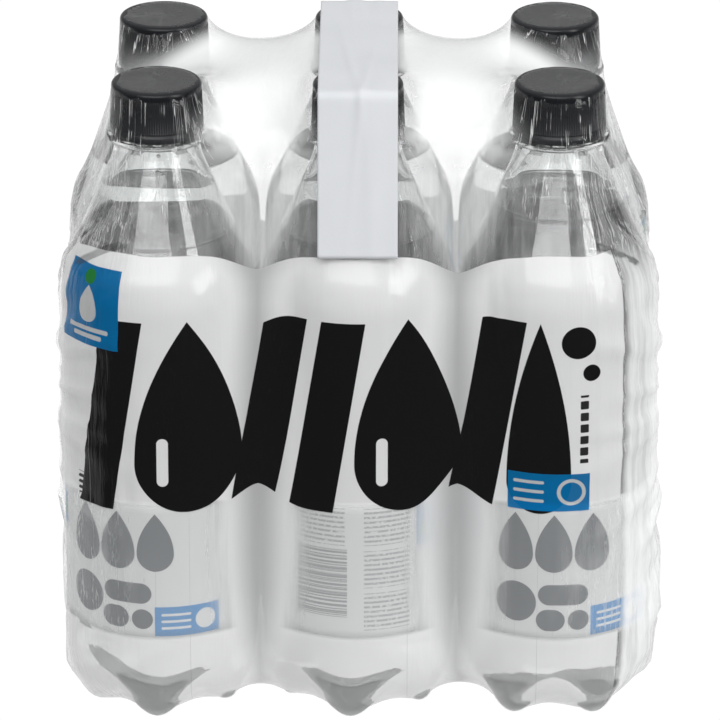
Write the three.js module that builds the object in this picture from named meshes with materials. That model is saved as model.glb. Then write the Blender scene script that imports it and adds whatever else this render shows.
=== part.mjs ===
// A shrink-wrapped pack of six clear half-litre water bottles, two rows of three. Each bottle
// has its water, its screw cap and a label wrapped round it. One sleeve of shrink film holds
// them, drawn in round an open eye at both ends, and a white carrying strip runs over the
// middle pair of caps. Millimetres, +Z up, +X to the pack's right, front row towards -Y.
// The origin is on the ground under the middle of the pack.

import * as THREE from 'three';

// Driving dimensions
const PITCH = 65.6;              // from one bottle's axis to the next, both ways
const BODY_RADIUS = 32.05;       // the bottle's straight wall
const SHOULDER_START = 148;      // heights on a bottle count from its feet
const BASE_HEIGHT = 24;          // where the five feet have blended into the wall
const FOOT_RADIUS = 25;          // outer edge of a foot where it stands
const FEET = 5;
const NECK_RADIUS = 14;
const BORE_RADIUS = 10.9;
const FINISH_RADIUS = 12.7;      // the threaded mouth inside the cap
const FINISH_TOP = 215.7;
const RING_RADIUS = 16.5;        // the carrying ring under the cap
const RING_BOTTOM = 200.6;
const RING_TOP = 202.2;
const RING_BEVEL = 0.3;
const BORE_BOTTOM = 197;         // where the bore opens into the shoulder
const CAP_RADIUS = 15.3;
const CAP_TOP = 217.8;
const CAP_WALL = 2.1;
const CAP_ROOF = 1.7;
const CAP_BEVEL = 1.5;
const LABEL_BOTTOM = 31.6;
const LABEL_TOP = 81.9;
const LABEL_THICKNESS = 0.3;
const WALL = 0.65;               // the bottle's side wall, and a little more in its base
const BASE_WALL = 1.0;
const GAP = 0.3;                 // left between pieces that touch
const FILM = 0.5;                // the film's thickness
const SLACK = 0.7;               // between the bottles and the film's inner face
const EYE_HALF_WIDTH = 40;       // the open eye at each end, an upright oval
const SPINE_HEIGHT = 105;        // the film is reached by rays from a line at this height
const STRIP_WIDTH = 26;
const STRIP_THICKNESS = 0.4;
const STRIP_END_HEIGHT = 167;

// Mesh fineness
const SEGMENTS = 20;
const END_RINGS = 5;
const MIDDLE_RINGS = 16;
const FILM_STEPS = 38;
const FINE = 6;                  // points tested along each side of a facet of the film
const PASSES = 6;                // easings of the stretched film before it is lifted again
const ROUNDS = 90;
const EAGERNESS = 0.5;           // share of what a facet is short by that one lift makes good
const EASE = 0.2;                // what a lifted corner may sink back before the next lift
const START_REACH = 130;
const FAR_REACH = 170;
const REACH_STEP = 0.25;

const FOOT_HEIGHT = FILM + GAP + 0.1;
const COLUMNS = ['left', 'middle', 'right'];
const ROWS = ['front', 'rear'];

// Each bottle's own turn about its axis in degrees, and the height of its water above ground
const BOTTLES = {
  front_left: { turn: -4, water: 168 },
  front_middle: { turn: -6.5, water: 168 },
  front_right: { turn: 36, water: 177 },
  rear_left: { turn: 21, water: 170 },
  rear_middle: { turn: 50, water: 172 },
  rear_right: { turn: 9, water: 169 },
};

function finish(color, roughness, opacity = 1) {
  return new THREE.MeshStandardMaterial({ color, roughness, opacity, transparent: opacity < 1 });
}

const finishes = {
  bottle: finish(0xe4eaea, 0.08, 0.35),
  water: finish(0xd5dfe0, 0.02, 0.5),
  cap: finish(0x1b1c1f, 0.35),
  label: finish(0xe2e4e6, 0.4),
  film: finish(0xd2d4d5, 0.2, 0.6),
  strip: finish(0xdfe2e5, 0.7),
};

// Profiles are lists of [radius, height, rise]: rise is how much higher the point lies in the
// valley between two feet than on a foot.
const BASE = [
  [0, 6.5, 0],
  [20, 0, 7.5],
  [FOOT_RADIUS, 0, 9],
  [31.2, 11, 7],
  [BODY_RADIUS, BASE_HEIGHT, 0],
];
const SHOULDER = [
  [BODY_RADIUS, SHOULDER_START, 0],
  [30.6, 157.5, 0],
  [25.3, 168, 0],
  [NECK_RADIUS, 195, 0],
];

const inset = (profile, inwards, up) => profile.map(
  ([radius, height, rise]) => [Math.max(radius - inwards, 0), height + up, rise]);

const innerBase = inset(BASE, WALL, BASE_WALL);
const innerShoulder = [
  ...inset(SHOULDER.slice(0, -1), WALL + 0.25, -0.4),
  [BORE_RADIUS, BORE_BOTTOM, 0],
];

// Turns a profile about Z. The point at angle 0 faces -Y, and a foot lies there.
function turned(profile) {
  const points = profile.map(([radius, height]) => new THREE.Vector2(radius, height));
  const geometry = new THREE.LatheGeometry(points, SEGMENTS);
  const position = geometry.getAttribute('position');
  for (let i = 0; i < position.count; i += 1) {
    const rise = profile[i % profile.length][2] ?? 0;
    const angle = (2 * Math.PI * Math.floor(i / profile.length)) / SEGMENTS;
    const valley = (1 - Math.cos(FEET * angle)) / 2;
    position.setY(i, position.getY(i) + rise * valley);
  }
  // A quad between two feet folds along its higher diagonal, so that the bottle's outside, its
  // inside and the water fold alike.
  const index = geometry.getIndex();
  const height = (vertex) => position.getY(vertex);
  for (let i = 0; i < index.count; i += 6) {
    const [a, b, d, c] = [0, 1, 2, 3].map((corner) => index.getX(i + corner));
    if (height(a) + height(c) <= height(b) + height(d) + 1e-4) continue;
    [a, b, c, a, c, d].forEach((vertex, corner) => index.setX(i + corner, vertex));
  }
  return geometry.rotateX(Math.PI / 2);
}

// The radius of a profile that only rises, at a given height
function radiusAt(profile, height) {
  if (height <= profile[0][1]) return profile[0][0];
  for (let i = 1; i < profile.length; i += 1) {
    const [radius0, height0] = profile[i - 1];
    const [radius1, height1] = profile[i];
    if (height <= height1) {
      const share = (height - height0) / Math.max(height1 - height0, 1e-6);
      return radius0 + (radius1 - radius0) * share;
    }
  }
  return profile[profile.length - 1][0];
}

function bottleGeometry() {
  return turned([
    ...BASE,
    ...SHOULDER,
    [NECK_RADIUS, RING_BOTTOM],
    [RING_RADIUS, RING_BOTTOM + RING_BEVEL],
    [RING_RADIUS, RING_TOP - RING_BEVEL],
    [FINISH_RADIUS, RING_TOP],
    [FINISH_RADIUS, FINISH_TOP],
    [BORE_RADIUS, FINISH_TOP],
    ...innerShoulder.toReversed(),
    ...innerBase.toReversed(),
  ]);
}

// Water fills the bottle, a gap inside its wall, up to a flat surface.
function waterGeometry(level) {
  const sides = inset([...innerBase, ...innerShoulder], GAP, 0);
  const floor = inset(sides.slice(0, BASE.length), 0, GAP);
  const wall = sides.slice(BASE.length).filter(([, height]) => height < level - 1);
  const surface = radiusAt(sides.slice(BASE.length), level);
  return turned([...floor, ...wall, [surface, level], [0, level]]);
}

function capGeometry() {
  const bottom = RING_TOP + GAP;
  const roof = CAP_TOP - CAP_ROOF;
  const inside = CAP_RADIUS - CAP_WALL;
  return turned([
    [0, roof],
    [inside, roof],
    [inside, bottom],
    [CAP_RADIUS, bottom],
    [CAP_RADIUS, CAP_TOP - CAP_BEVEL],
    [CAP_RADIUS - CAP_BEVEL, CAP_TOP],
    [0, CAP_TOP],
  ]);
}

const labelInside = BODY_RADIUS + GAP;
const labelOutside = labelInside + LABEL_THICKNESS;

function labelGeometry() {
  return turned([
    [labelOutside, LABEL_BOTTOM],
    [labelOutside, LABEL_TOP],
    [labelInside, LABEL_TOP],
    [labelInside, LABEL_BOTTOM],
    [labelOutside, LABEL_BOTTOM],
  ]);
}

// What the film is stretched over: the widest outline of a capped and labelled bottle
const OBSTACLE = [
  [FOOT_RADIUS, 0],
  [31.2, 11],
  [labelOutside, BASE_HEIGHT],
  [labelOutside, SHOULDER_START],
  ...SHOULDER.slice(1).map(([radius, height]) => [radius, height]),
  [NECK_RADIUS, RING_BOTTOM],
  [RING_RADIUS, RING_BOTTOM + RING_BEVEL],
  [RING_RADIUS, RING_TOP - RING_BEVEL],
  [CAP_RADIUS, RING_TOP],
  [CAP_RADIUS, CAP_TOP - CAP_BEVEL],
  [CAP_RADIUS - CAP_BEVEL, CAP_TOP],
];

// The bottles' axes, by column and row
const axisX = (column) => (column - 1) * PITCH;
const axisY = (row) => (row - 0.5) * PITCH;
const AXES = ROWS.flatMap((_, row) => COLUMNS.map((__, column) => [axisX(column), axisY(row)]));

const TABLE_STEP = 0.25;
const girths = [];
for (let height = 0; height <= CAP_TOP; height += TABLE_STEP) {
  girths.push(radiusAt(OBSTACLE, height));
}

function insideBottle(point, clearance) {
  const height = point.z - FOOT_HEIGHT;
  if (height < -GAP || height > CAP_TOP + clearance) return false;
  const row = Math.min(Math.max(Math.round(height / TABLE_STEP), 0), girths.length - 1);
  const reach = girths[row] + clearance;
  return AXES.some(([x, y]) => (point.x - x) ** 2 + (point.y - y) ** 2 < reach * reach);
}

// The film's grid. Rings run round the pack and are counted from the left eye to the right
// one, and steps run round a ring. The rays of the rings in the middle leave a spine along X,
// and those of the end rings fan out from the spine's ends.
const RINGS = 2 * END_RINGS + MIDDLE_RINGS;
const END_DEPTH = labelOutside;
const HALF_DEPTH = PITCH / 2 + labelOutside;
const RISE = 0.95 * SPINE_HEIGHT;        // spreads the upper rays, to land just outside the caps
const EYE_TILT = Math.atan(EYE_HALF_WIDTH / HALF_DEPTH);

function filmRay(ring, step) {
  const turn = (2 * Math.PI * step) / FILM_STEPS;
  const mirrored = ring > RINGS / 2;
  const fromEye = mirrored ? RINGS - ring : ring;
  const side = mirrored ? 1 : -1;
  const share = Math.min(fromEye / END_RINGS, 1);
  const tilt = EYE_TILT + (Math.PI / 2 - EYE_TILT) * share;
  const along = Math.max(fromEye - END_RINGS, 0) / (MIDDLE_RINGS / 2);
  return {
    from: new THREE.Vector3(side * PITCH * (1 - along), 0, SPINE_HEIGHT),
    way: new THREE.Vector3(
      side * END_DEPTH * Math.cos(tilt),
      HALF_DEPTH * Math.sin(tilt) * Math.cos(turn),
      (turn < Math.PI ? RISE : SPINE_HEIGHT) * Math.sin(tilt) * Math.sin(turn),
    ).normalize(),
  };
}

// How far out along a ray the last point inside a bottle lies
function bottleReach({ from, way }) {
  const point = new THREE.Vector3();
  for (let reach = FAR_REACH; reach > 0; reach -= REACH_STEP) {
    point.copy(from).addScaledVector(way, reach);
    if (insideBottle(point, SLACK)) return reach;
  }
  return 0;
}

// How far a point inside a bottle must move out along a ray to be clear of it
function depthInside(point, way) {
  const probe = point.clone();
  let depth = 0;
  while (insideBottle(probe, SLACK)) {
    depth += REACH_STEP;
    probe.addScaledVector(way, REACH_STEP);
  }
  return depth;
}

// The two triangles of each cell of the film's grid, as [ring, step] corners. A cell folds from
// its corner nearest the middle of the pack's side to the opposite one, in all four quarters.
function filmCells() {
  const cells = [];
  const steepness = (step) => Math.abs(Math.sin((2 * Math.PI * step) / FILM_STEPS));
  for (let ring = 0; ring < RINGS; ring += 1) {
    for (let step = 0; step < FILM_STEPS; step += 1) {
      const next = (step + 1) % FILM_STEPS;
      const corners = [[ring, step], [ring, next], [ring + 1, next], [ring + 1, step]];
      const falling = steepness(step) > steepness(step + 1);
      const [a, b, c, d] = (ring < RINGS / 2) === falling
        ? corners
        : [...corners.slice(1), corners[0]];
      cells.push([a, b, c], [a, c, d]);
    }
  }
  return cells;
}

// The film as a skin under tension: every point slides along its ray to the straight lines
// between its neighbours, but not into a bottle nor under the ground. Where a bottle would
// still come through a flat facet, the facet's corners are lifted and the skin is eased again.
function stretchedSkin() {
  const grid = [];
  for (let ring = 0; ring <= RINGS; ring += 1) {
    grid.push([]);
    for (let step = 0; step < FILM_STEPS; step += 1) {
      const ray = filmRay(ring, step);
      const most = ray.way.z < 0 ? (SPINE_HEIGHT - FILM) / -ray.way.z : Infinity;
      const bare = Math.min(bottleReach(ray), most);
      grid[ring].push({ ...ray, bare, least: bare, most, reach: Math.min(START_REACH, most) });
    }
  }
  const place = (ring, step) => {
    const { from, way, reach } = grid[ring][(step + FILM_STEPS) % FILM_STEPS];
    return from.clone().addScaledVector(way, reach);
  };
  const chord = ({ from, way }, here, before, after) => {
    const near = 1 / Math.max(here.distanceTo(before), 1e-6);
    const far = 1 / Math.max(here.distanceTo(after), 1e-6);
    const middle = before.multiplyScalar(near).addScaledVector(after, far);
    return middle.divideScalar(near + far).sub(from).dot(way);
  };
  const hold = (knot, reach) => {
    knot.reach = Math.min(Math.max(reach, knot.least), knot.most);
  };
  const relax = () => grid.forEach((row, ring) => row.forEach((knot, step) => {
    const here = place(ring, step);
    let goal = chord(knot, here, place(ring, step - 1), place(ring, step + 1));
    if (ring > 0 && ring < RINGS) {
      goal = (goal + chord(knot, here, place(ring - 1, step), place(ring + 1, step))) / 2;
    }
    hold(knot, goal);
  }));
  const cells = filmCells();
  const lift = (eagerness) => {
    let lifts = 0;
    for (const corners of cells) {
      const knots = corners.map(([ring, step]) => grid[ring][step]);
      const places = corners.map(([ring, step]) => place(ring, step));
      for (let a = 0; a <= FINE; a += 1) {
        for (let b = 0; a + b <= FINE; b += 1) {
          const weights = [a / FINE, b / FINE, (FINE - a - b) / FINE];
          const point = new THREE.Vector3();
          places.forEach((corner, i) => point.addScaledVector(corner, weights[i]));
          if (!insideBottle(point, SLACK)) continue;
          const way = new THREE.Vector3();
          knots.forEach((knot, i) => way.addScaledVector(knot.way, weights[i]));
          const depth = depthInside(point, way.normalize());
          const spread = weights.reduce((sum, weight) => sum + weight * weight, 0);
          knots.forEach((knot, i) => {
            const lifted = knot.reach + (eagerness * depth * weights[i]) / spread;
            knot.least = Math.max(knot.least, Math.min(lifted, knot.most));
          });
          lifts += 1;
        }
      }
    }
    grid.flat().forEach((knot) => hold(knot, knot.reach));
    return lifts;
  };
  for (let round = 0; round < ROUNDS; round += 1) {
    grid.flat().forEach((knot) => {
      knot.least = Math.max(knot.bare, knot.least - EASE);
    });
    for (let pass = 0; pass < PASSES; pass += 1) relax();
    lift(EAGERNESS);
  }
  for (let round = 0; round < ROUNDS && lift(1) > 0; round += 1);
  return grid.map((row, ring) => row.map((_, step) => place(ring, step)));
}

// A closed sheet: the skin is its inner face, and its outer face lies one thickness outside,
// along the skin's normals.
function filmGeometry(skin) {
  const count = skin.length * FILM_STEPS;
  const inner = skin.flat();
  const at = (ring, step) => ring * FILM_STEPS + ((step + FILM_STEPS) % FILM_STEPS);
  const faces = filmCells().map((corners) => corners.map(([ring, step]) => at(ring, step)));
  const sheet = new THREE.BufferGeometry().setFromPoints(inner);
  sheet.setIndex(faces.flat());
  sheet.computeVertexNormals();
  const normal = new THREE.Vector3();
  const outer = inner.map((point, i) => {
    normal.fromBufferAttribute(sheet.getAttribute('normal'), i);
    return point.clone().addScaledVector(normal, FILM);
  });
  const outwards = faces.map((face) => face.map((i) => i + count));
  const inwards = faces.map(([a, b, c]) => [a, c, b]);
  const hems = [];
  const last = skin.length - 1;
  for (let step = 0; step < FILM_STEPS; step += 1) {
    const [a, b] = [at(0, step), at(0, step + 1)];
    hems.push([a, b + count, a + count], [a, b, b + count]);
    const [c, d] = [at(last, step), at(last, step + 1)];
    hems.push([c, c + count, d + count], [c, d + count, d]);
  }
  const geometry = new THREE.BufferGeometry().setFromPoints([...inner, ...outer]);
  geometry.setIndex([...outwards, ...inwards, ...hems].flat());
  return { geometry, outer };
}

// The outline of a set of [y, z] points seen from above, from front to back, without dips
function upperOutline(points) {
  const sorted = points.toSorted((p, q) => p[0] - q[0] || p[1] - q[1]);
  const line = [];
  for (const point of sorted) {
    while (line.length > 1) {
      const [[y0, z0], [y1, z1]] = line.slice(-2);
      if ((y1 - y0) * (point[1] - z0) - (z1 - z0) * (point[0] - y0) < 0) break;
      line.pop();
    }
    line.push(point);
  }
  return line;
}

// The strip is pulled straight over the film, from one stuck end in front to one behind.
function stripGeometry(film) {
  const cell = (2 * PITCH) / MIDDLE_RINGS;
  const under = film.filter(({ x }) => Math.abs(x) < STRIP_WIDTH / 2 + cell);
  const line = upperOutline(under.map(({ y, z }) => [y, z]));
  const cut = ([y0, z0], [y1, z1]) => {
    const share = (STRIP_END_HEIGHT - z0) / (z1 - z0);
    return [y0 + (y1 - y0) * share, STRIP_END_HEIGHT];
  };
  const first = line.findIndex(([, z]) => z > STRIP_END_HEIGHT);
  const end = line.findLastIndex(([, z]) => z > STRIP_END_HEIGHT);
  const path = [
    cut(line[first - 1], line[first]),
    ...line.slice(first, end + 1),
    cut(line[end], line[end + 1]),
  ];
  const raised = (distance) => path.map(([y, z], i) => {
    const [y0, z0] = path[Math.max(i - 1, 0)];
    const [y1, z1] = path[Math.min(i + 1, path.length - 1)];
    const length = Math.hypot(y1 - y0, z1 - z0);
    return new THREE.Vector2(y - (z1 - z0) / length * distance, z + (y1 - y0) / length * distance);
  });
  const bottom = raised(GAP);
  const top = raised(GAP + STRIP_THICKNESS);
  const shape = new THREE.Shape([...bottom, ...top.toReversed()]);
  const geometry = new THREE.ExtrudeGeometry(shape, { depth: STRIP_WIDTH, bevelEnabled: false });
  geometry.translate(0, 0, -STRIP_WIDTH / 2);
  const [alongX, alongY, alongZ] = [[1, 0, 0], [0, 1, 0], [0, 0, 1]].map((v) => new THREE.Vector3(...v));
  return geometry.applyMatrix4(new THREE.Matrix4().makeBasis(alongY, alongZ, alongX));
}

function named(name, geometry, material) {
  const mesh = new THREE.Mesh(geometry, material);
  mesh.name = name;
  return mesh;
}

const pack = new THREE.Group();
ROWS.forEach((row, rowIndex) => COLUMNS.forEach((column, columnIndex) => {
  const spot = `${row}_${column}`;
  const { turn, water } = BOTTLES[spot];
  const bottle = new THREE.Group();
  bottle.add(named(`bottle_${spot}`, bottleGeometry(), finishes.bottle));
  bottle.add(named(`water_${spot}`, waterGeometry(water - FOOT_HEIGHT), finishes.water));
  bottle.add(named(`cap_${spot}`, capGeometry(), finishes.cap));
  bottle.add(named(`label_${spot}`, labelGeometry(), finishes.label));
  bottle.position.set(axisX(columnIndex), axisY(rowIndex), FOOT_HEIGHT);
  bottle.rotation.z = THREE.MathUtils.degToRad(turn);
  pack.add(bottle);
}));

const film = filmGeometry(stretchedSkin());
pack.add(named('film', film.geometry, finishes.film));
pack.add(named('carrying_strip', stripGeometry(film.outer), finishes.strip));

export default pack;
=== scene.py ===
"""Six clear half-litre water bottles in two rows, shrink-wrapped, with a paper carrying strip.

Lengths are in millimetres until a mesh is made. +Z is up, +X runs to the pack's right and its
front faces -Y. Heights on a bottle count from its feet, all others from the ground.
"""

from math import pi, radians

import bpy
import numpy as np
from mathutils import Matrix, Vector


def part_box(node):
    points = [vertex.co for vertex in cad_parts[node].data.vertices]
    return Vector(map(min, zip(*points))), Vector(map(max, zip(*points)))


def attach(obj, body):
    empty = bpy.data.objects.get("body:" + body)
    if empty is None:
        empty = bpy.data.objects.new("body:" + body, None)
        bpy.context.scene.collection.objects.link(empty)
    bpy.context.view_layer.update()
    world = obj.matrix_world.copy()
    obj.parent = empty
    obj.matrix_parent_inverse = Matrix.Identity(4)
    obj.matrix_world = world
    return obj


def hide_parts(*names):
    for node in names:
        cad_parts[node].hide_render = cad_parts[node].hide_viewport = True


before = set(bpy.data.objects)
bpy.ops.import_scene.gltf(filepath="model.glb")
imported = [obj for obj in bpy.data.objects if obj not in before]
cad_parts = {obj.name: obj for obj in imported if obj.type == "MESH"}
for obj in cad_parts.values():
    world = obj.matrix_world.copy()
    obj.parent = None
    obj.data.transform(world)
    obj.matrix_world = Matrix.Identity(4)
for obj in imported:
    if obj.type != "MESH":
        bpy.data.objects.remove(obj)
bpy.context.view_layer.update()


# The photographer's table
# The pack stands on white paper lit from below. A long lens looks down on its front from two
# metres away. One wide soft light hangs above the camera, and a tall narrow one to the right
# draws streaks on the plastic.

CAMERA_PLACE = (0.01204, -1.849, 0.866)
CAMERA_DOWN, CAMERA_ASIDE = 22.32, 0.36  # degrees below level, and to the left
FOCAL_LENGTH, SENSOR = 296.25, 36.0

lens = bpy.data.cameras.new("lens")
lens.lens = FOCAL_LENGTH
lens.sensor_width = SENSOR
lens.clip_end = 30
camera = bpy.data.objects.new("camera", lens)
camera.location = CAMERA_PLACE
camera.rotation_euler = (radians(90 - CAMERA_DOWN), 0, radians(CAMERA_ASIDE))
bpy.context.scene.collection.objects.link(camera)
bpy.context.scene.camera = camera
bpy.context.scene.view_settings.view_transform = "Standard"

# Light passes many clear walls on its way through the pack
CLEAR_WALLS, FILM_WALLS = 9, 16
cycles = bpy.context.scene.cycles
cycles.max_bounces = cycles.transmission_bounces = CLEAR_WALLS
cycles.transparent_max_bounces = FILM_WALLS


def soft_light(name, place, aim, size, power):
    """A rectangular light of size (width, height) in metres at place, which shines at aim."""
    light = bpy.data.lights.new(name, "AREA")
    light.shape = "RECTANGLE"
    light.size, light.size_y = size
    light.energy = power
    lamp = bpy.data.objects.new(name, light)
    lamp.location = place
    lamp.rotation_euler = (Vector(aim) - Vector(place)).to_track_quat("-Z", "Y").to_euler()
    bpy.context.scene.collection.objects.link(lamp)


soft_light("front_sheet", (-0.3, -1.8, 1.6), (0, 0, 0.1), (2.2, 1.3), 36)
soft_light("right_strip", (1.15, -0.95, 0.75), (0, 0, 0.13), (0.42, 1.3), 13)


def add_node(tree, kind, inputs=(), **settings):
    """A node of that kind, with its settings. Each input is set, or linked to a socket or to
    another node's first one."""
    node = tree.nodes.new(kind)
    for key, value in settings.items():
        setattr(node, key, value)
    for key, value in dict(inputs).items():
        if isinstance(value, bpy.types.Node):
            value = value.outputs[0]
        if isinstance(value, bpy.types.NodeSocket):
            tree.links.new(value, node.inputs[key])
        else:
            node.inputs[key].default_value = value
    return node


def split(tree, vector):
    """The x, y and z sockets of a vector."""
    return add_node(tree, "ShaderNodeSeparateXYZ", {0: vector}).outputs


def stored(tree, name, output="Vector"):
    """The socket of a value that the mesh keeps for each of its points."""
    return add_node(tree, "ShaderNodeAttribute", attribute_name=name).outputs[output]


def calc(tree, operation, *values):
    """The result socket of a Math node on up to three values or sockets."""
    return add_node(tree, "ShaderNodeMath", enumerate(values), operation=operation).outputs[0]


def ramp(tree, value, low, high, bottom=0.0, top=1.0):
    """A smooth rise from bottom to top as value goes from low to high."""
    node = add_node(tree, "ShaderNodeMapRange", {0: value, 1: low, 2: high, 3: bottom, 4: top},
                    interpolation_type="SMOOTHSTEP")
    return node.outputs[0]


def product(tree, *values):
    """All the values and sockets multiplied together."""
    result = values[0]
    for value in values[1:]:
        result = calc(tree, "MULTIPLY", result, value)
    return result


def noise(tree, place, scale, detail, roughness=0.5, stretch=None, shift=(0, 0, 0)):
    """Smooth noise about 0.5 at a place, which is first scaled by stretch and moved by shift."""
    if stretch:
        place = add_node(tree, "ShaderNodeMapping", {
            "Vector": place, "Location": shift, "Scale": stretch})
    node = add_node(tree, "ShaderNodeTexNoise", {
        "Vector": place, "Scale": scale, "Detail": detail, "Roughness": roughness})
    return node.outputs[0]


def rough_normal(tree, height, distance, strength):
    """The surface's normal, tilted as if it rose by distance where height goes from 0 to 1."""
    return add_node(tree, "ShaderNodeBump", {
        "Height": height, "Distance": distance, "Strength": strength}).outputs[0]


def tinted(tree, mask, under, colour):
    """The colour under, painted over with another where the mask is 1."""
    node = add_node(tree, "ShaderNodeMix", {0: mask, 6: under, 7: colour}, data_type="RGBA")
    return node.outputs[2]


def new_material(name):
    """A material and its empty node tree."""
    material = bpy.data.materials.new(name)
    material.use_nodes = True
    material.node_tree.nodes.clear()
    return material, material.node_tree


def mixed_shader(tree, share, first, second):
    """One shader where share is 0 and another where it is 1."""
    return add_node(tree, "ShaderNodeMixShader", {0: share, 1: first, 2: second})


BRIGHT, DIM = 1.05, 0.46  # brightness of the surroundings overhead, and level with the pack
SKY_EDGE = (0.35, 0.75)  # upward part of the direction where one passes into the other

world = bpy.data.worlds.new("studio")
world.use_nodes = True
bpy.context.scene.world = world
air = world.node_tree
toward = add_node(air, "ShaderNodeTexCoord").outputs["Generated"]
brightness = ramp(air, split(air, toward)["Z"], *SKY_EDGE, DIM, BRIGHT)
air.nodes["Background"].inputs[0].default_value = (1, 1, 1, 1)
air.links.new(brightness, air.nodes["Background"].inputs[1])

PAPER_RADIUS, PAPER_DEPTH = 6.0, 0.0003
PAPER_GLOW, PAPER_SHADE = 1.02, 0.19  # under and behind the pack, and in front of it
GLOW_EDGE = (-0.14, -0.086)  # where one passes into the other, in metres along Y
angles = np.linspace(0, 2 * pi, 96, endpoint=False)
paper_mesh = bpy.data.meshes.new("paper")
rim = np.stack([np.cos(angles), np.sin(angles), 0 * angles], 1) * PAPER_RADIUS - (0, 0, PAPER_DEPTH)
paper_mesh.from_pydata(rim.tolist(), [], [list(range(len(rim)))])
paper = bpy.data.objects.new("paper", paper_mesh)
bpy.context.scene.collection.objects.link(paper)
paper_look, tree = new_material("lit_paper")
spot_on = add_node(tree, "ShaderNodeTexCoord").outputs["Object"]
back = split(tree, spot_on)["Y"]
seen = add_node(tree, "ShaderNodeLightPath").outputs["Is Camera Ray"]
near_glow = ramp(tree, back, *GLOW_EDGE, PAPER_SHADE, PAPER_GLOW)
lit_paper = add_node(tree, "ShaderNodeEmission", {
    "Strength": calc(tree, "MAXIMUM", near_glow, product(tree, seen, PAPER_GLOW))})
add_node(tree, "ShaderNodeOutputMaterial", {"Surface": lit_paper})
paper_mesh.materials.append(paper_look)


# The bottles
# Each is one blown shell of clear PET about half a millimetre thick, on five feet, with a thick
# moulded neck. A carrying ring stands out under the cap.

MM = 0.001
TURNS = {  # each bottle's turn about its axis, in degrees
    "front_left": -4, "front_middle": -6.5, "front_right": 36,
    "rear_left": 21, "rear_middle": 50, "rear_right": 9,
}
FEET = 5
WALL = 0.5
BODY_RADIUS = 32.05
NECK_RADIUS = 14.0
BORE_RADIUS = 10.9
BASE_TOP, SHOULDER_FOOT, SHOULDER_TOP = 34.0, 140.0, 196.0
INNER_SHOULDER_TOP = 182.6  # where the inside of the shoulder passes into the thicker neck
BOTTLE_COLUMNS = 120

# Corners of the outline as [radius, height, rise]: rise is how much higher a point lies in the
# valley between two feet than on a foot.
BASE = [(0, 6.5, 0), (9, 4.6, 2.5), (20, 0, 7.5), (25, 0, 9), (31.2, 11, 7), (BODY_RADIUS, 24, 0),
        (BODY_RADIUS, BASE_TOP, 0)]
SHOULDER = [(BODY_RADIUS, SHOULDER_FOOT, 0), (BODY_RADIUS, 149.5, 0), (30.9, 157, 0), (25.0, 168.4, 0),
            (18.2, 184.2, 0), (NECK_RADIUS, 193.8, 0), (NECK_RADIUS, SHOULDER_TOP, 0)]
NECK = [(NECK_RADIUS, SHOULDER_TOP, 0), (NECK_RADIUS, 198.3, 0), (16.4, 198.6, 0), (16.7, 199.5, 0),
        (16.4, 200.3, 0), (12.7, 200.5, 0), (12.7, 215.6, 0), (BORE_RADIUS, 215.7, 0)]
BORE = [(BORE_RADIUS, 215.4, 0), (BORE_RADIUS, 199.5, 0), (12.0, 194.0, 0), (14.6, 188.4, 0),
        (17.9, 183.2, 0)]


def rounded_line(corners, blend, step):
    """The straight line through the corners, walked in even steps, with every place on it
    replaced by the mean of the places within half a blend length before and after it."""
    corners = np.asarray(corners, float)
    walked = np.append(0, np.cumsum(np.hypot(*np.diff(corners[:, :2], axis=0).T)))
    marks = np.linspace(0, walked[-1], int(walked[-1] / step) + 2)
    line = np.stack([np.interp(marks, walked, column) for column in corners.T], 1)
    half = max(int(blend / step / 2), 1)
    before = 2 * line[0] - line[half:0:-1]
    after = 2 * line[-1] - line[-2:-half - 2:-1]
    sums = np.cumsum(np.concatenate([0 * line[:1], before, line, after]), axis=0)
    return (sums[2 * half + 1:] - sums[:-2 * half - 1]) / (2 * half + 1)


def inset(line, distance):
    """The line moved inwards, square to its own run: each point goes distance along (-dz, dr)."""
    run = np.gradient(line[:, :2], axis=0)
    run /= np.linalg.norm(run, axis=1, keepdims=True)
    moved = line.copy()
    moved[:, 0] = np.maximum(line[:, 0] - run[:, 1] * distance, 0)
    moved[:, 1] = line[:, 1] + run[:, 0] * distance
    return moved


def turned(line, columns, turn=0.0):
    """A grid of points: the line swung round Z. At angle a a point lies at (r sin a, -r cos a),
    and rise * (1 - cos(FEET * a)) / 2 higher than on a foot."""
    radius, height, rise = line.T[:, :, None]
    angle = np.linspace(0, 2 * pi, columns, endpoint=False)[None, :]
    lifted = height + rise * (1 - np.cos(FEET * angle)) / 2
    angle = angle + radians(turn)
    return np.stack([radius * np.sin(angle), -radius * np.cos(angle), lifted], 2)


def mesh_piece(name, points, faces, material, replaced=()):
    """A smooth mesh of points in millimetres, which rides the pack and stands for CAD nodes."""
    mesh = bpy.data.meshes.new(name)
    mesh.from_pydata((np.asarray(points) * MM).tolist(), [], faces)
    mesh.polygons.foreach_set("use_smooth", np.ones(len(faces), bool))
    mesh.update()
    mesh.materials.append(material)
    piece = bpy.data.objects.new(name, mesh)
    bpy.context.scene.collection.objects.link(piece)
    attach(piece, "root")
    if replaced:
        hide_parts(*replaced)
    return piece


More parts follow.
